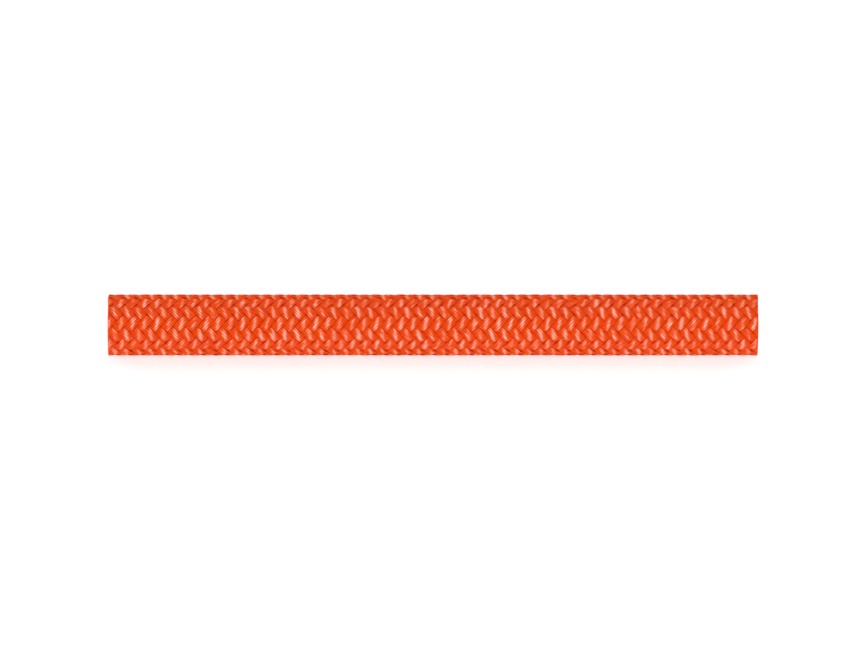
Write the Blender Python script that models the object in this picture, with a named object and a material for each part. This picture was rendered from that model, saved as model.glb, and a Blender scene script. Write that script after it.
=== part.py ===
"""A short length of dynamic climbing rope: a braided sheath round a core of twisted cords.

The rope lies along X on the surface Z = 0. Sixteen sheath strands wind one way and sixteen the
other, each passing over two crossing strands and then under two. Twelve core cords run inside.
Lengths are in metres and angles in radians.
"""

import math

import bmesh
import bpy
from mathutils import Vector

# Driving dimensions of the rope
ROPE_DIAMETER = 0.0100
ROPE_LENGTH = 0.1057

# Driving dimensions of the sheath
SHEATH_LAY = 0.0317
WALE_PAIRS = 8
STRAND_THICKNESS = 0.00036
STRAND_CLEARANCE = 0.00006
EDGE_CLEARANCE = 0.00006
BRAID_SHIFT = 0.00076

# Driving dimensions of the core
CORE_CLEARANCE = 0.00010
CORD_CLEARANCE = 0.00006
CORD_LAY = 0.1300
CORD_VALLEY_DEPTH = 0.00028
CORD_STEPS_PER_TURN = 6
INNER_CORDS = 3
OUTER_CORDS = 9
PLIES = 3

# The sheath strands: each hand has one strand for each wale, a row of crowns along the rope
STRANDS_PER_HAND = 2 * WALE_PAIRS
WALE_ANGLE = 2 * math.pi / STRANDS_PER_HAND
PICK_PITCH = SHEATH_LAY / STRANDS_PER_HAND

# Two wales straddle the lowest line of the rope, so it rests on two rows of crowns
FIRST_WALE_ANGLE = WALE_ANGLE * 1.5

# Radii of the sheath: strands wave between an outer and an inner course
ROPE_RADIUS = ROPE_DIAMETER / 2
WAVE_HEIGHT = STRAND_THICKNESS + STRAND_CLEARANCE
MID_RADIUS = ROPE_RADIUS - STRAND_THICKNESS / 2 - WAVE_HEIGHT
SHEATH_BORE_RADIUS = MID_RADIUS - WAVE_HEIGHT - STRAND_THICKNESS / 2
CORE_RADIUS = SHEATH_BORE_RADIUS - CORE_CLEARANCE
AXIS_HEIGHT = ROPE_RADIUS * math.cos(WALE_ANGLE / 2)

SHEATH_COLOUR = (0.80, 0.075, 0.010, 1.0)
SHEATH_ROUGHNESS = 0.55
CORE_COLOUR = (0.85, 0.84, 0.80, 1.0)
CORE_ROUGHNESS = 0.75
SMOOTH_ANGLE = math.radians(40)


def clear_scene():
    """Remove every object that is already in the scene."""
    for existing in list(bpy.data.objects):
        bpy.data.objects.remove(existing, do_unlink=True)


def fabric(name, colour, roughness):
    """Return a plain non-metallic material."""
    material = bpy.data.materials.new(name)
    material.use_nodes = True
    shader = material.node_tree.nodes["Principled BSDF"]
    shader.inputs["Base Color"].default_value = colour
    shader.inputs["Roughness"].default_value = roughness
    shader.inputs["Metallic"].default_value = 0.0
    return material


def on_rope(along, radius, angle):
    """Return the point at a distance along the rope, a radius and an angle up from the front."""
    across = -radius * math.cos(angle)
    height = AXIS_HEIGHT + radius * math.sin(angle)
    return Vector((along, across, height))


def loft(mesh, rings):
    """Join each ring of corners to the next with quads and return the corners as vertices."""
    lofted = [[mesh.verts.new(corner) for corner in ring] for ring in rings]
    sides = len(rings[0])
    for near, far in zip(lofted, lofted[1:]):
        for side in range(sides):
            following = (side + 1) % sides
            mesh.faces.new((near[side], near[following], far[following], far[side]))
    return lofted


def add_object(name, mesh, material):
    """Turn a finished bmesh into a named, smoothly shaded object."""
    bmesh.ops.recalc_face_normals(mesh, faces=mesh.faces)
    data = bpy.data.meshes.new(name)
    mesh.to_mesh(data)
    mesh.free()
    data.materials.append(material)
    data.shade_smooth()
    data.set_sharp_from_angle(angle=SMOOTH_ANGLE)
    made = bpy.data.objects.new(name, data)
    bpy.context.scene.collection.objects.link(made)
    return made


def strand_half_width():
    """Return the widest half width at which the corners of a crossing stay clear of each other.

    Crossings lie half a step apart along a strand. Where four strands meet between two of them,
    the edges of the strands that cross must not reach the point halfway.
    """
    step_round = MID_RADIUS * WALE_ANGLE
    half_step = math.hypot(step_round, PICK_PITCH) / 2
    steepness = step_round / PICK_PITCH
    return half_step / 2 * min(steepness, 1 / steepness) - EDGE_CLEARANCE / 2


def strand_ring(along, angle, radius, hand):
    """Return the four corners of a strand's lens section: edge, crown, edge and underside."""
    rise = SHEATH_LAY / (2 * math.pi)
    slant = math.hypot(rise, MID_RADIUS)
    half_width = strand_half_width()
    edge_along = half_width * MID_RADIUS / slant
    edge_angle = -hand * half_width * rise / (slant * MID_RADIUS)
    return [
        on_rope(along + edge_along, radius, angle + edge_angle),
        on_rope(along, radius + STRAND_THICKNESS / 2, angle),
        on_rope(along - edge_along, radius, angle - edge_angle),
        on_rope(along, radius - STRAND_THICKNESS / 2, angle),
    ]


def cut_square(mesh, end):
    """Cut a strand square to the rope at one end and close it with a flat face."""
    outward = Vector((math.copysign(1.0, end), 0.0, 0.0))
    geometry = mesh.verts[:] + mesh.edges[:] + mesh.faces[:]
    cut = bmesh.ops.bisect_plane(
        mesh, geom=geometry, plane_co=(end, 0.0, 0.0), plane_no=outward, clear_outer=True)
    rim = [item for item in cut["geom_cut"] if isinstance(item, bmesh.types.BMEdge)]
    bmesh.ops.edgeloop_fill(mesh, edges=rim)


def add_strand(name, number, hand, material):
    """Add one sheath strand. Hand 1 winds forward as the angle grows and hand -1 backward.

    A ring stands on every wale. Strands of hand 1 come up on even wales and go under on odd
    ones. The other hand does the opposite, half a pick further along.
    """
    offset = BRAID_SHIFT + number * PICK_PITCH
    if hand < 0:
        offset += PICK_PITCH / 2
    half_length = ROPE_LENGTH / 2
    first = math.floor((-half_length - offset) / PICK_PITCH) - 1
    last = math.ceil((half_length - offset) / PICK_PITCH) + 1
    rings = []
    for step in range(first, last + 1):
        wale = hand * step
        is_up = (wale % 2 == 0) == (hand > 0)
        radius = MID_RADIUS + (WAVE_HEIGHT if is_up else -WAVE_HEIGHT)
        angle = FIRST_WALE_ANGLE + wale * WALE_ANGLE
        rings.append(strand_ring(offset + step * PICK_PITCH, angle, radius, hand))
    mesh = bmesh.new()
    loft(mesh, rings)
    cut_square(mesh, -half_length)
    cut_square(mesh, half_length)
    return add_object(name, mesh, material)


def circle_of_cords(radius, count):
    """Return the circle on which round cords of this radius lie side by side."""
    return (radius + CORD_CLEARANCE / 2) / math.sin(math.pi / count)


def cords_fit(radius):
    """Tell whether both layers of cords, of this radius, fit in the core."""
    inner_circle = circle_of_cords(radius, INNER_CORDS)
    outer_circle = CORE_RADIUS - radius
    side_by_side = circle_of_cords(radius, OUTER_CORDS) <= outer_circle
    nearest = math.pi / OUTER_CORDS
    clear = math.hypot(
        outer_circle * math.cos(nearest) - inner_circle, outer_circle * math.sin(nearest))
    return side_by_side and clear >= 2 * radius + CORD_CLEARANCE


def cord_radius():
    """Return the largest radius at which both layers of cords fit in the core."""
    small = 0.0
    large = CORE_RADIUS / 2
    for _ in range(40):
        middle = (small + large) / 2
        if cords_fit(middle):
            small = middle
        else:
            large = middle
    return small


def cord_ring(along, turn, centre_radius, centre_angle, radius):
    """Return the corners of a plied cord's section: a crown and a valley for each ply."""
    centre = on_rope(along, centre_radius, centre_angle)
    corners = []
    for corner in range(2 * PLIES):
        reach = radius if corner % 2 == 0 else radius - CORD_VALLEY_DEPTH
        angle = turn + corner * math.pi / PLIES
        corners.append(centre + Vector((0.0, -reach * math.cos(angle), reach * math.sin(angle))))
    return corners


def close_cord(mesh, ring):
    """Close a cord's end with one face across the valleys and one on each ply."""
    mesh.faces.new(ring[1::2])
    for ply in range(PLIES):
        crown = 2 * ply
        mesh.faces.new((ring[crown - 1], ring[crown], ring[crown + 1]))


def add_cord(name, centre_radius, centre_angle, hand, material):
    """Add one core cord of twisted plies, cut square at both ends."""
    steps = math.ceil(ROPE_LENGTH / CORD_LAY * CORD_STEPS_PER_TURN)
    radius = cord_radius()
    rings = []
    for step in range(steps + 1):
        along = ROPE_LENGTH * (step / steps - 0.5)
        turn = centre_angle + hand * 2 * math.pi * along / CORD_LAY
        rings.append(cord_ring(along, turn, centre_radius, centre_angle, radius))
    mesh = bmesh.new()
    lofted = loft(mesh, rings)
    close_cord(mesh, lofted[0])
    close_cord(mesh, lofted[-1])
    return add_object(name, mesh, material)


def add_sheath():
    """Add the strands of both hands."""
    material = fabric("sheath", SHEATH_COLOUR, SHEATH_ROUGHNESS)
    for number in range(STRANDS_PER_HAND):
        add_strand(f"sheath_strand_s_{number + 1:02d}", number, 1, material)
        add_strand(f"sheath_strand_z_{number + 1:02d}", number, -1, material)


def add_core():
    """Add the inner cords and the ring of outer cords, with the twist alternating."""
    material = fabric("core", CORE_COLOUR, CORE_ROUGHNESS)
    radius = cord_radius()
    for number in range(INNER_CORDS):
        angle = 2 * math.pi * number / INNER_CORDS
        hand = 1 if number % 2 == 0 else -1
        add_cord(
            f"core_cord_inner_{number + 1}",
            circle_of_cords(radius, INNER_CORDS), angle, hand, material)
    for number in range(OUTER_CORDS):
        angle = 2 * math.pi * (number + 0.5) / OUTER_CORDS
        hand = 1 if number % 2 == 0 else -1
        add_cord(
            f"core_cord_outer_{number + 1}", CORE_RADIUS - radius, angle, hand, material)


clear_scene()
add_sheath()
add_core()
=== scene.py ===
"""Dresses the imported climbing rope: a braided sheath of filament strands round plied core cords.

Lengths are in metres and angles in radians. The rope lies along X on the floor, Z = 0.
"""

import math

import bmesh
import bpy
import numpy as np
from mathutils import Matrix, Vector


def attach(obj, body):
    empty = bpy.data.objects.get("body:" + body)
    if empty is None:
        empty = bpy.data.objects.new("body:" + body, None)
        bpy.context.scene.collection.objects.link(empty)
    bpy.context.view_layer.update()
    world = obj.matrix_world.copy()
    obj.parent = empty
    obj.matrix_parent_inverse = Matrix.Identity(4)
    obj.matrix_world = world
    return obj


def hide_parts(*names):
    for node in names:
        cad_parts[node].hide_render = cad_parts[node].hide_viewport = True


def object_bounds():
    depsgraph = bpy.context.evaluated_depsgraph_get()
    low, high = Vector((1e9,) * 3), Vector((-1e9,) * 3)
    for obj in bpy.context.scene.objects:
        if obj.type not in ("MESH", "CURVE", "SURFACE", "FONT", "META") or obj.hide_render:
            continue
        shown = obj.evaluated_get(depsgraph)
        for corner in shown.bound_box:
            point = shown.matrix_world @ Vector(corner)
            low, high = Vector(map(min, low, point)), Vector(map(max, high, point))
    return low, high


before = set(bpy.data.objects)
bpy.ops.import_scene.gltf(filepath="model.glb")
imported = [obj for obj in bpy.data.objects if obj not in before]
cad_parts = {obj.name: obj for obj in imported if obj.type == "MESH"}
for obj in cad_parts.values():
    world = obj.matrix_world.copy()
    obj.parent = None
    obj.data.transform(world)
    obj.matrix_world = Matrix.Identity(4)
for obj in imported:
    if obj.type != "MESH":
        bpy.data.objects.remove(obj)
cad_low, cad_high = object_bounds()

# Photograph: its width and the length of the rope in it, in pixels
IMAGE_WIDTH = 866
ROPE_PIXELS = 649.5

# Braid, as in the solids
STRANDS_PER_HAND = 16
SHEATH_LAY = 0.0317
BRAID_SHIFT = 0.00076
WALE_ANGLE = 2 * math.pi / STRANDS_PER_HAND
PICK_PITCH = SHEATH_LAY / STRANDS_PER_HAND
FIRST_WALE_ANGLE = 1.5 * WALE_ANGLE

# Rope, from the frame
ROPE_LENGTH = cad_high[0] - cad_low[0]
AXIS_HEIGHT = (cad_low[2] + cad_high[2]) / 2
ROPE_RADIUS = (cad_high[2] - cad_low[2]) / 2 / math.cos(WALE_ANGLE / 2)

# Sheath strand: a flat, gently crowned ribbon of parallel yarns that waves in and out
WAVE_HEIGHT = 0.00020
WAVE_FLATNESS = 0.9
CROWN_BULGE = 0.00008
WIDTH_SHARE = 1.08
YARNS_PER_STRAND = 4
YARN_DEPTH = 0.000010
TOP_POINTS = 25
UNDER_POINTS = 8
UNDER_SQUARENESS = 8
RINGS_PER_STEP = 9
STRANDS_PER_PIECE = 4
SHEATH_BORE_RADIUS = 0.0038
MID_RADIUS = ROPE_RADIUS - WAVE_HEIGHT - CROWN_BULGE
UNDER_BULGE = MID_RADIUS - WAVE_HEIGHT - SHEATH_BORE_RADIUS

# One step of a strand takes it from one wale, a row of crowns along the rope, to the next
STEP_ROUND = MID_RADIUS * WALE_ANGLE
STEP_LENGTH = math.hypot(STEP_ROUND, PICK_PITCH)
STRAND_SPACING = PICK_PITCH * STEP_ROUND / STEP_LENGTH
HALF_WIDTH = STRAND_SPACING / 2 * WIDTH_SHARE

# Irregularities of a strand: waves to a step, and how far they lift, move and tilt it
WANDER_WAVES = (0.13, 0.31, 0.74)
JITTER_HEIGHT = 0.000012
JITTER_ACROSS = 0.000040
JITTER_TILT = 0.04

# Pale lens on the crest of each float: the sheen in the photograph, nearly all kept as colour
SHEEN_WIDTH = 0.00028
SHEEN_LENGTH = 0.00112
SHEEN_LEAN = 0.16
SHEEN_SHIFT = 0.00013
SHEEN_STRENGTH = 1.05
SHEEN_SPREAD = 0.28
YARN_SPREAD = 0.45

# Painted light of a strand: the painted sheen's share of it, the painted shade that a groove adds and
# where the body is full, past the painted shade at its edges
SHEEN_SHARE = 0.50
GROOVE_SHARE = 0.68
EDGE_SHARE = 0.42

# Cut ends: each strand and ply is up to this much short of the full length, and evenly tinted with
# one level of painted shade and sheen at the cut
END_RAGGEDNESS = 0.00008
CUT_PAINTED_LIGHT = 0.4

# Edges sharper than this stay crisp
SHARP_ANGLE = math.radians(60)

# Core cords, placed as in the solids
CORE_RADIUS = 0.0037
CORD_RADIUS = 0.000892
INNER_CORDS = 3
OUTER_CORDS = 9
INNER_CIRCLE = 0.0010646
OUTER_CIRCLE = CORE_RADIUS - CORD_RADIUS

# Plies of a core cord: slices of a pressed round cord that twist round each other
PLIES = 3
PRESSED_RADIUS = 0.00096
PLY_LAY = 0.0092
PLY_PLACE = 0.55
PLY_CIRCLE = PLY_PLACE * PRESSED_RADIUS
PLY_FULLNESS = 0.96
PLY_SIDES = 18
PLY_RINGS_PER_TURN = 20

# Least cosine to divide by, for directions along the side of a slice
LEAST_COSINE = 0.01

# Tints of the fibres and their heights, from painted shade in the deepest crevice through the fibres'
# own colour to the palest crest, painted sheen on the sheath
TINT_HEIGHTS = (0.10, 0.34, 0.56, 0.68, 1.00)
SHEATH_TINTS = (
    # Painted shade in the deepest crevices
    (0.42, 0.005, 0.001),
    (0.79, 0.044, 0.003),
    (0.88, 0.105, 0.007),
    # Painted sheen on the crests, in the two palest tints
    (0.90, 0.245, 0.140),
    (0.95, 0.480, 0.400),
)
CORE_TINTS = (
    # Darkest tint: painted shade where the plies press together
    (0.66, 0.65, 0.61),
    (0.76, 0.75, 0.72),
    (0.82, 0.81, 0.78),
    (0.86, 0.85, 0.83),
    (0.88, 0.87, 0.85),
)

# Grain of the fibres: streaks along the filaments, to a metre and to a turn, and fine speckles
SHEATH_STREAKS = (500.0, 14.0, 1.0)
CORE_STREAKS = (700.0, 16.0, 1.0)
STREAK_DETAIL = 4.0
SPECKLE_SCALE = 3800.0
SPECKLE_DETAIL = 2.0
SPECKLE_SHARE = 0.4
GRAIN_RANGE = (0.35, 0.65)
GRAIN_SHARE = 0.25
BUMP_STRENGTH = 0.10
BUMP_DISTANCE = 0.00006

# The map of each strand starts up to this far along, so that no two share their streaks
MAP_SHIFT = 10.0

# Gloss of the fibres: least and most roughness, and more of it towards grazing angles
SHEATH_ROUGHNESS = (0.10, 0.18)
CORE_ROUGHNESS = (0.50, 0.70)
STREAK_RANGE = (0.3, 0.7)
DULL_FACING = (0.14, 0.38)
DULL_ROUGHNESS = 0.85
SPECULAR_LEVEL = 0.10

# Camera
CAMERA_ELEVATION = math.radians(75.95)
CAMERA_LENS = 600.0
SENSOR_WIDTH = 36.0
CLIP_START = 0.01

# Light: an arch of soft panels over the rope, from the front to the back
ARCH_RADIUS = 1.2
PANEL_WIDTH = 0.21
PANEL_ANGLE = math.radians(30)
LOWEST_PANEL = math.radians(16)
PANEL_RADIANCES = (12.6, 8.8, 8.0, 6.8, 5.8, 4.6)

# Light: a wide, dim panel beyond each end of the rope, towards the back, fills the shade
FILL_PLACE = Vector((1.1, 0.7, 0.9))
FILL_SIZE = 1.2
FILL_RADIANCE = 1.1

# Light: a little from all round
WORLD_STRENGTH = 0.03

# Floor: its glow shows in the image and in reflections but lights nothing
FLOOR_HALF_SIZE = 3.0
FLOOR_COLOUR = (0.93, 0.93, 0.93, 1.0)
FLOOR_ROUGHNESS = 0.9
FLOOR_GLOW = 0.36

WHITE = (1.0, 1.0, 1.0, 1.0)
RANDOM_SEED = 7
random = np.random.default_rng(RANDOM_SEED)


def on_rope(along, radius, angle):
    """Return points at distances along the rope, radii and angles up from the front."""
    along, radius, angle = np.broadcast_arrays(along, radius, angle)
    across = -radius * np.cos(angle)
    height = AXIS_HEIGHT + radius * np.sin(angle)
    return np.stack([along, across, height], axis=-1)


def wander(steps, size):
    """Return a slow, smooth wandering about zero along a strand."""
    total = np.zeros_like(steps)
    for waves_per_step in WANDER_WAVES:
        phase = random.uniform(0, 2 * math.pi)
        total = total + np.sin(2 * math.pi * waves_per_step * steps + phase)
    return total * size / 2


def new_mesh():
    """Return an empty bmesh with the map and the painted light, shade and sheen, that the materials
    read.
    """
    mesh = bmesh.new()
    mesh.loops.layers.uv.new("strand")
    mesh.verts.layers.float.new("painted_light")
    return mesh


def add_tube(mesh, points, painted_light, uv_along, uv_round):
    """Add an open tube through rings of points, with its own map along and round the tube.

    Painted light is kept at each point, from 0 for painted shade in the crevices to about 1 for
    painted sheen on the palest crests.
    """
    uv_layer = mesh.loops.layers.uv.verify()
    painted_light_layer = mesh.verts.layers.float["painted_light"]
    rings, sides, _ = points.shape
    made = [[mesh.verts.new(point) for point in ring] for ring in points.tolist()]
    for ring, heights in zip(made, np.broadcast_to(painted_light, (rings, sides)).tolist()):
        for vertex, height in zip(ring, heights):
            vertex[painted_light_layer] = height
    for ring in range(rings - 1):
        for side in range(sides):
            following = (side + 1) % sides
            corners = (
                (ring, side, side), (ring, following, side + 1),
                (ring + 1, following, side + 1), (ring + 1, side, side))
            face = mesh.faces.new([made[at][round_at] for at, round_at, _ in corners])
            face.smooth = True
            for loop, (at, _, round_at) in zip(face.loops, corners):
                loop[uv_layer].uv = (uv_along[at], uv_round[round_at])


def ragged_end(side):
    """Return where one strand or ply ends, on one side of the rope's middle."""
    return side * (ROPE_LENGTH / 2 - random.uniform(0, END_RAGGEDNESS))


def cut_square(mesh, end):
    """Cut everything in the mesh square to the rope at one end and close it with a flat face."""
    geometry = mesh.verts[:] + mesh.edges[:] + mesh.faces[:]
    cut = bmesh.ops.bisect_plane(
        mesh, geom=geometry, plane_co=(end, 0, 0), plane_no=(math.copysign(1, end), 0, 0),
        clear_outer=True)
    rim = [item for item in cut["geom_cut"] if isinstance(item, bmesh.types.BMEdge)]
    bmesh.ops.edgeloop_fill(mesh, edges=rim)
    painted_light_layer = mesh.verts.layers.float["painted_light"]
    # The cut rim gets one even level of painted shade and sheen
    for edge in rim:
        for vertex in edge.verts:
            vertex[painted_light_layer] = CUT_PAINTED_LIGHT


def add_piece(name, mesh, material, nodes):
    """Turn a finished bmesh into a piece that stands for CAD nodes."""
    bmesh.ops.recalc_face_normals(mesh, faces=mesh.faces)
    data = bpy.data.meshes.new(name)
    mesh.to_mesh(data)
    mesh.free()
    data.materials.append(material)
    data.set_sharp_from_angle(angle=SHARP_ANGLE)
    piece = bpy.data.objects.new(name, data)
    bpy.context.scene.collection.objects.link(piece)
    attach(piece, "root")
    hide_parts(*nodes)
    return piece


def strand_section():
    """Return a strand's section: over the top from one edge to the other and back underneath.

    For each point it gives the place across, from 1 to -1, the height, and 1 at the bottom of a
    groove between yarns down to 0 on a yarn.
    """
    over = np.linspace(1, -1, TOP_POINTS)
    under = np.sin(np.linspace(-math.pi / 2, math.pi / 2, UNDER_POINTS + 2)[1:-1])
    groove = 1 - np.abs(np.sin(math.pi * YARNS_PER_STRAND * (over + 1) / 2))
    top_profile = CROWN_BULGE * (1 - over ** 2) - YARN_DEPTH * groove
    under_profile = -UNDER_BULGE * (1 - under ** UNDER_SQUARENESS)
    lateral = np.concatenate([over, under])[None, :]
    profile = np.concatenate([top_profile, under_profile])[None, :]
    groove = np.concatenate([groove, np.zeros(UNDER_POINTS)])[None, :]
    return lateral, profile, groove


def by_yarn(steps, size):
    """Return a wandering along a strand that differs from yarn to yarn, for each point round it."""
    yarns = np.concatenate([wander(steps, size) for _ in range(YARNS_PER_STRAND)], axis=1)
    over = np.arange(TOP_POINTS) * YARNS_PER_STRAND // TOP_POINTS
    under = np.zeros(UNDER_POINTS, dtype=int)
    return yarns[:, np.concatenate([over, under])]


def painted_sheen_of_float(steps, hand, across):
    """Return the painted sheen: about 1 on the crest of each float and 0 away from it, more or less
    by the yarn.

    The painted sheen is a narrow lens that reaches round the rope and leans a little towards the
    strand.
    """
    middle = 0 if hand > 0 else 1
    from_middle = (steps - middle + 1) % 2 - 1
    along = PICK_PITCH * from_middle + across * STEP_ROUND / STEP_LENGTH
    around = STEP_ROUND * from_middle - across * PICK_PITCH / STEP_LENGTH
    aside = along - SHEEN_LEAN * around + by_yarn(steps, SHEEN_SHIFT)
    # Painted sheen: a pale lens on the crest of each float
    sheen = np.exp(-(aside / SHEEN_WIDTH) ** 2 - (around / SHEEN_LENGTH) ** 4)
    float_number = ((steps - middle + 1) // 2).astype(int)
    float_number = float_number - float_number.min()
    strengths = random.normal(SHEEN_STRENGTH, SHEEN_SPREAD, float_number.max() + 1)
    return sheen * (strengths[float_number] + by_yarn(steps, YARN_SPREAD))


def strand_painted_light(steps, hand, wave, lateral, groove):
    """Return the painted light of a strand: painted shade at its edges, where it dives and in its
    grooves, painted sheen on its crests.
    """
    # Painted shade at the strand's edges and where it dives under the crossing strands
    body = (1 + wave) / 2 * (1 - lateral ** 2)
    body = np.minimum(body / EDGE_SHARE, 1)
    sheen = painted_sheen_of_float(steps, hand, HALF_WIDTH * lateral)
    # Painted shade in the grooves between yarns
    ridge = 1 - GROOVE_SHARE * groove
    return ridge * ((1 - SHEEN_SHARE) * body + SHEEN_SHARE * sheen)


def strand_points(number, hand):
    """Return the rings of one sheath strand, its painted shade and sheen and its map along and round.

    Hand 1 winds forward as the angle grows and hand -1 backward.
    """
    offset = BRAID_SHIFT + number * PICK_PITCH + (PICK_PITCH / 2 if hand < 0 else 0)
    first = math.floor((-ROPE_LENGTH / 2 - offset) / PICK_PITCH) - 1
    last = math.ceil((ROPE_LENGTH / 2 - offset) / PICK_PITCH) + 1
    steps = np.linspace(first, last, (last - first) * RINGS_PER_STEP + 1)[:, None]
    wave = np.tanh(WAVE_FLATNESS * hand * np.cos(math.pi * steps)) / math.tanh(WAVE_FLATNESS)
    lateral, profile, groove = strand_section()

    centre = MID_RADIUS + WAVE_HEIGHT * wave + wander(steps, JITTER_HEIGHT)
    profile = profile + wander(steps, JITTER_TILT) * HALF_WIDTH * lateral
    across = HALF_WIDTH * lateral + wander(steps, JITTER_ACROSS)
    along = offset + steps * PICK_PITCH + across * STEP_ROUND / STEP_LENGTH
    angle = FIRST_WALE_ANGLE + hand * steps * WALE_ANGLE
    angle = angle - hand * across * PICK_PITCH / STEP_LENGTH / MID_RADIUS
    points = on_rope(along, centre + profile, angle)

    painted_light = strand_painted_light(steps, hand, wave, lateral, groove)
    uv_along = steps[:, 0] * STEP_LENGTH + random.uniform(0, MAP_SHIFT)
    uv_round = np.linspace(0, 1, TOP_POINTS + UNDER_POINTS + 1)
    return points, painted_light, uv_along, uv_round


def add_strand(mesh, number, hand):
    """Add one sheath strand to a piece, cut square at both ends."""
    strand = new_mesh()
    add_tube(strand, *strand_points(number, hand))
    cut_square(strand, ragged_end(-1))
    cut_square(strand, ragged_end(1))
    data = bpy.data.meshes.new("strand")
    strand.to_mesh(data)
    strand.free()
    mesh.from_mesh(data)
    bpy.data.meshes.remove(data)


def add_sheath_pieces(material):
    """Add the sheath, a few neighbouring strands of one hand to a piece."""
    pieces = []
    for hand, letter in ((1, "s"), (-1, "z")):
        for first in range(0, STRANDS_PER_HAND, STRANDS_PER_PIECE):
            mesh = new_mesh()
            numbers = range(first, first + STRANDS_PER_PIECE)
            for number in numbers:
                add_strand(mesh, number, hand)
            nodes = [f"sheath_strand_{letter}_{number + 1:02d}" for number in numbers]
            name = f"sheath_{letter}_strands_{numbers[0] + 1:02d}_to_{numbers[-1] + 1:02d}"
            pieces.append(add_piece(name, mesh, material, nodes))
    return pieces


def ply_reach(around):
    """Return how far a ply reaches from its middle, as an equal slice of a pressed round cord."""
    arc = np.sqrt(PRESSED_RADIUS ** 2 - (PLY_CIRCLE * np.sin(around)) ** 2)
    arc = arc - PLY_CIRCLE * np.cos(around)
    slice_side = PLY_CIRCLE * math.sin(math.pi / PLIES)
    from_outside = np.abs((around + math.pi) % (2 * math.pi) - math.pi)
    from_side = from_outside - math.pi / 2 - math.pi / PLIES
    side = slice_side / np.maximum(np.cos(from_side), LEAST_COSINE)
    return np.minimum(arc, side)


def add_cord_piece(name, circle, angle, hand, material):
    """Add one core cord as its twisted plies."""
    mesh = new_mesh()
    centre = on_rope(0.0, circle, angle)
    rings = int(ROPE_LENGTH / PLY_LAY * PLY_RINGS_PER_TURN) + 1
    around = np.linspace(0, 2 * math.pi, PLY_SIDES, endpoint=False)[None, :]
    ply_radius = PLY_FULLNESS * ply_reach(around)
    for ply in range(PLIES):
        along = np.linspace(ragged_end(-1), ragged_end(1), rings)[:, None]
        twist = hand * 2 * math.pi * along / PLY_LAY + 2 * math.pi * ply / PLIES
        y = centre[1] + PLY_CIRCLE * np.cos(twist) + ply_radius * np.cos(around + twist)
        z = centre[2] + PLY_CIRCLE * np.sin(twist) + ply_radius * np.sin(around + twist)
        points = np.stack(np.broadcast_arrays(along, y, z), axis=-1)
        # Painted shade on the inner side of each ply, where the plies press together
        painted_light = (1 + np.cos(around)) / 2
        add_tube(mesh, points, painted_light, along[:, 0], np.linspace(0, 1, PLY_SIDES + 1))
    bmesh.ops.holes_fill(mesh, edges=mesh.edges)
    return add_piece(f"{name}_plies", mesh, material, [name])


def add_core_pieces(material):
    """Add the inner cords and the ring of outer cords."""
    pieces = []
    for count, circle, start, layer in (
            (INNER_CORDS, INNER_CIRCLE, 0.0, "inner"),
            (OUTER_CORDS, OUTER_CIRCLE, math.pi / OUTER_CORDS, "outer")):
        for number in range(count):
            angle = start + 2 * math.pi * number / count
            hand = 1 if number % 2 == 0 else -1
            name = f"core_cord_{layer}_{number + 1}"
            pieces.append(add_cord_piece(name, circle, angle, hand, material))
    return pieces


class Nodes:
    """A short way to add nodes and links to one node tree."""

    def __init__(self, tree):
        self.tree = tree

    def add(self, kind, inputs=None, **settings):
        """Add a node with settings, and with values or links for its inputs."""
        node = self.tree.nodes.new(kind)
        for key, value in settings.items():
            setattr(node, key, value)
        for key, value in (inputs or {}).items():
            if isinstance(value, bpy.types.NodeSocket):
                self.tree.links.new(value, node.inputs[key])
            else:
                node.inputs[key].default_value = value
        return node

    def calculate(self, operation, first, second):
        """Add a calculation with two values and return its result."""
        return self.add("ShaderNodeMath", {0: first, 1: second}, operation=operation).outputs["Value"]


def add_grain(nodes, streaks):
    """Add noise in streaks along the filaments, and return it alone and mixed with speckles."""
    place = nodes.add("ShaderNodeUVMap", uv_map="strand").outputs["UV"]
    streak_place = nodes.add("ShaderNodeMapping", {"Vector": place, "Scale": streaks})
    streak = nodes.add(
        "ShaderNodeTexNoise",
        {"Vector": streak_place.outputs["Vector"], "Scale": 1.0, "Detail": STREAK_DETAIL})
    position = nodes.add("ShaderNodeTexCoord").outputs["Object"]
    speckle = nodes.add(
        "ShaderNodeTexNoise",
        {"Vector": position, "Scale": SPECKLE_SCALE, "Detail": SPECKLE_DETAIL})
    grain = nodes.add(
        "ShaderNodeMix",
        {"Factor": SPECKLE_SHARE, "A": streak.outputs["Fac"], "B": speckle.outputs["Fac"]})
    return streak.outputs["Fac"], grain.outputs["Result"]


def add_tint(nodes, grain, tints):
    """Add the colour of the fibres, by their painted shade and sheen and their grain."""
    painted_light = nodes.add("ShaderNodeAttribute", attribute_name="painted_light").outputs["Fac"]
    contrast = nodes.add(
        "ShaderNodeMapRange",
        {"Value": grain, "From Min": GRAIN_RANGE[0], "From Max": GRAIN_RANGE[1]})
    height = nodes.add(
        "ShaderNodeMix", {"Factor": GRAIN_SHARE, "A": painted_light, "B": contrast.outputs["Result"]})
    tint = nodes.add("ShaderNodeValToRGB", {"Fac": height.outputs["Result"]})
    steps = tint.color_ramp.elements
    steps.remove(steps[1])
    steps[0].position = TINT_HEIGHTS[0]
    for tint_height in TINT_HEIGHTS[1:]:
        steps.new(tint_height)
    for step, colour in zip(steps, tints):
        step.color = (*colour, 1.0)
    return tint.outputs["Color"]


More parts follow.
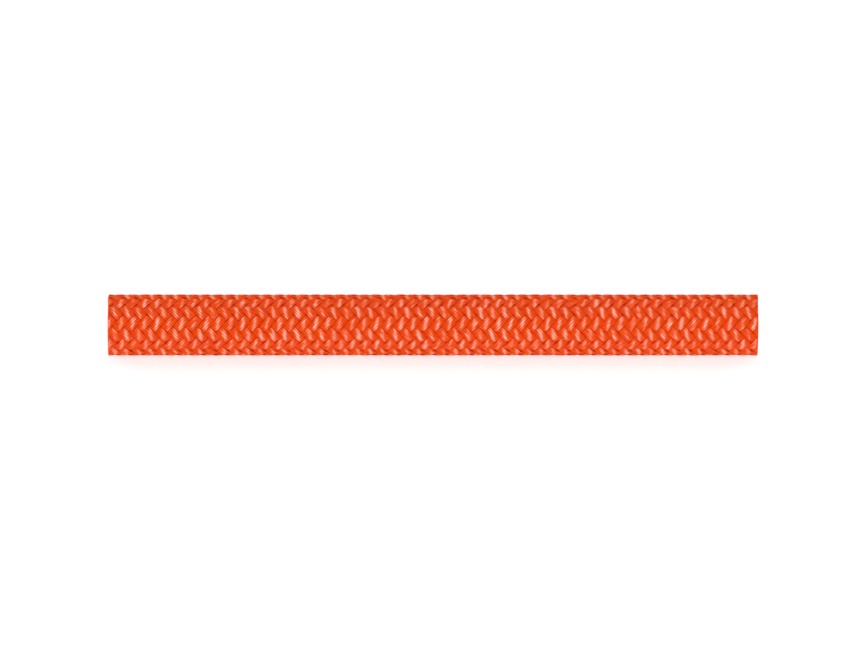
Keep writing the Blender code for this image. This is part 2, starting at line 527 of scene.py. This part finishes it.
def add_roughness(nodes, streak, roughness):
    """Add the roughness, which follows the streaks and grows towards grazing angles."""
    shine = nodes.add(
        "ShaderNodeMapRange",
        {"Value": streak, "From Min": STREAK_RANGE[0], "From Max": STREAK_RANGE[1],
         "To Min": roughness[1], "To Max": roughness[0]})
    graze = nodes.add("ShaderNodeLayerWeight")
    dull = nodes.add(
        "ShaderNodeMapRange",
        {"Value": graze.outputs["Facing"], "From Min": DULL_FACING[0], "From Max": DULL_FACING[1],
         "To Min": 0.0, "To Max": DULL_ROUGHNESS})
    return nodes.calculate("ADD", shine.outputs["Result"], dull.outputs["Result"])


def fibre_material(name, tints, roughness, streaks):
    """Return a material of fine filaments that run along the map's first direction.

    Tints go from painted shade in the deepest crevice to the palest crest, painted sheen on the
    sheath, and roughness from least to most.
    """
    material = bpy.data.materials.new(name)
    material.use_nodes = True
    nodes = Nodes(material.node_tree)
    shader = material.node_tree.nodes["Principled BSDF"]
    streak, grain = add_grain(nodes, streaks)
    bump = nodes.add(
        "ShaderNodeBump", {"Height": grain, "Strength": BUMP_STRENGTH, "Distance": BUMP_DISTANCE})
    nodes.tree.links.new(add_tint(nodes, grain, tints), shader.inputs["Base Color"])
    nodes.tree.links.new(add_roughness(nodes, streak, roughness), shader.inputs["Roughness"])
    nodes.tree.links.new(bump.outputs["Normal"], shader.inputs["Normal"])
    shader.inputs["Metallic"].default_value = 0.0
    shader.inputs["Specular IOR Level"].default_value = SPECULAR_LEVEL
    return material


def floor_material():
    """Return the pale material of the floor, which looks white and keeps the rope's shadow."""
    material = bpy.data.materials.new("floor")
    material.use_nodes = True
    shader = material.node_tree.nodes["Principled BSDF"]
    shader.inputs["Base Color"].default_value = FLOOR_COLOUR
    shader.inputs["Roughness"].default_value = FLOOR_ROUGHNESS
    shader.inputs["Specular IOR Level"].default_value = 0.0
    shader.inputs["Emission Color"].default_value = WHITE
    nodes = Nodes(material.node_tree)
    rays = nodes.add("ShaderNodeLightPath").outputs
    seen = nodes.calculate("MAXIMUM", rays["Is Camera Ray"], rays["Is Glossy Ray"])
    seen = nodes.calculate("MAXIMUM", seen, rays["Is Transmission Ray"])
    glow = nodes.calculate("MULTIPLY", seen, FLOOR_GLOW)
    nodes.tree.links.new(glow, shader.inputs["Emission Strength"])
    return material


def add_floor():
    """Add the pale floor that the rope lies on."""
    mesh = bmesh.new()
    bmesh.ops.create_grid(mesh, x_segments=1, y_segments=1, size=FLOOR_HALF_SIZE)
    data = bpy.data.meshes.new("floor")
    mesh.to_mesh(data)
    mesh.free()
    data.materials.append(floor_material())
    floor = bpy.data.objects.new("floor", data)
    bpy.context.scene.collection.objects.link(floor)


def rope_direction(elevation):
    """Return the unit vector from the rope towards its front at an elevation."""
    return Vector((0.0, -math.cos(elevation), math.sin(elevation)))


def facing(elevation):
    """Return the rotation that looks at the rope from its front at an elevation."""
    return Matrix.Rotation(math.pi / 2 - elevation, 4, "X")


def add_camera():
    """Add the camera so that the rope has the photograph's place and size in the image."""
    data = bpy.data.cameras.new("camera")
    data.lens = CAMERA_LENS
    data.sensor_width = SENSOR_WIDTH
    data.sensor_fit = "HORIZONTAL"
    data.clip_start = CLIP_START
    view_width = ROPE_LENGTH * IMAGE_WIDTH / ROPE_PIXELS
    distance = view_width * CAMERA_LENS / SENSOR_WIDTH
    camera = bpy.data.objects.new("camera", data)
    aim = Vector((0.0, 0.0, AXIS_HEIGHT))
    place = aim + distance * rope_direction(CAMERA_ELEVATION)
    camera.matrix_world = Matrix.Translation(place) @ facing(CAMERA_ELEVATION)
    bpy.context.scene.collection.objects.link(camera)
    bpy.context.scene.camera = camera


def add_lamp(name, place, rotation, width, length, radiance):
    """Add a soft rectangular lamp of an even radiance."""
    data = bpy.data.lights.new(name, "AREA")
    data.shape = "RECTANGLE"
    data.size = width
    data.size_y = length
    data.energy = radiance * math.pi * width * length
    lamp = bpy.data.objects.new(name, data)
    lamp.matrix_world = Matrix.Translation(place) @ rotation
    bpy.context.scene.collection.objects.link(lamp)


def add_panel(elevation, radiance):
    """Add one soft panel of the arch of light over the rope, facing it."""
    place = ARCH_RADIUS * rope_direction(elevation)
    length = 2 * ARCH_RADIUS * math.tan(PANEL_ANGLE / 2)
    add_lamp("panel", place, facing(elevation), PANEL_WIDTH, length, radiance)


def add_fill(side):
    """Add the wide panel beyond one end of the rope, facing it."""
    place = Vector((side * FILL_PLACE.x, FILL_PLACE.y, FILL_PLACE.z))
    rotation = place.to_track_quat("Z", "Y").to_matrix().to_4x4()
    add_lamp("fill", place, rotation, FILL_SIZE, FILL_SIZE, FILL_RADIANCE)


def add_world():
    """Add even white light from all round."""
    world = bpy.data.worlds.new("studio")
    world.use_nodes = True
    background = world.node_tree.nodes["Background"]
    background.inputs["Color"].default_value = WHITE
    background.inputs["Strength"].default_value = WORLD_STRENGTH
    bpy.context.scene.world = world


def main():
    """Build the scene."""
    add_camera()
    sheath = fibre_material("sheath", SHEATH_TINTS, SHEATH_ROUGHNESS, SHEATH_STREAKS)
    core = fibre_material("core", CORE_TINTS, CORE_ROUGHNESS, CORE_STREAKS)
    pieces = add_sheath_pieces(sheath) + add_core_pieces(core)
    add_floor()
    for number, radiance in enumerate(PANEL_RADIANCES):
        add_panel(LOWEST_PANEL + number * PANEL_ANGLE, radiance)
    add_fill(-1)
    add_fill(1)
    add_world()
    bpy.context.scene.view_settings.view_transform = "Standard"


main()
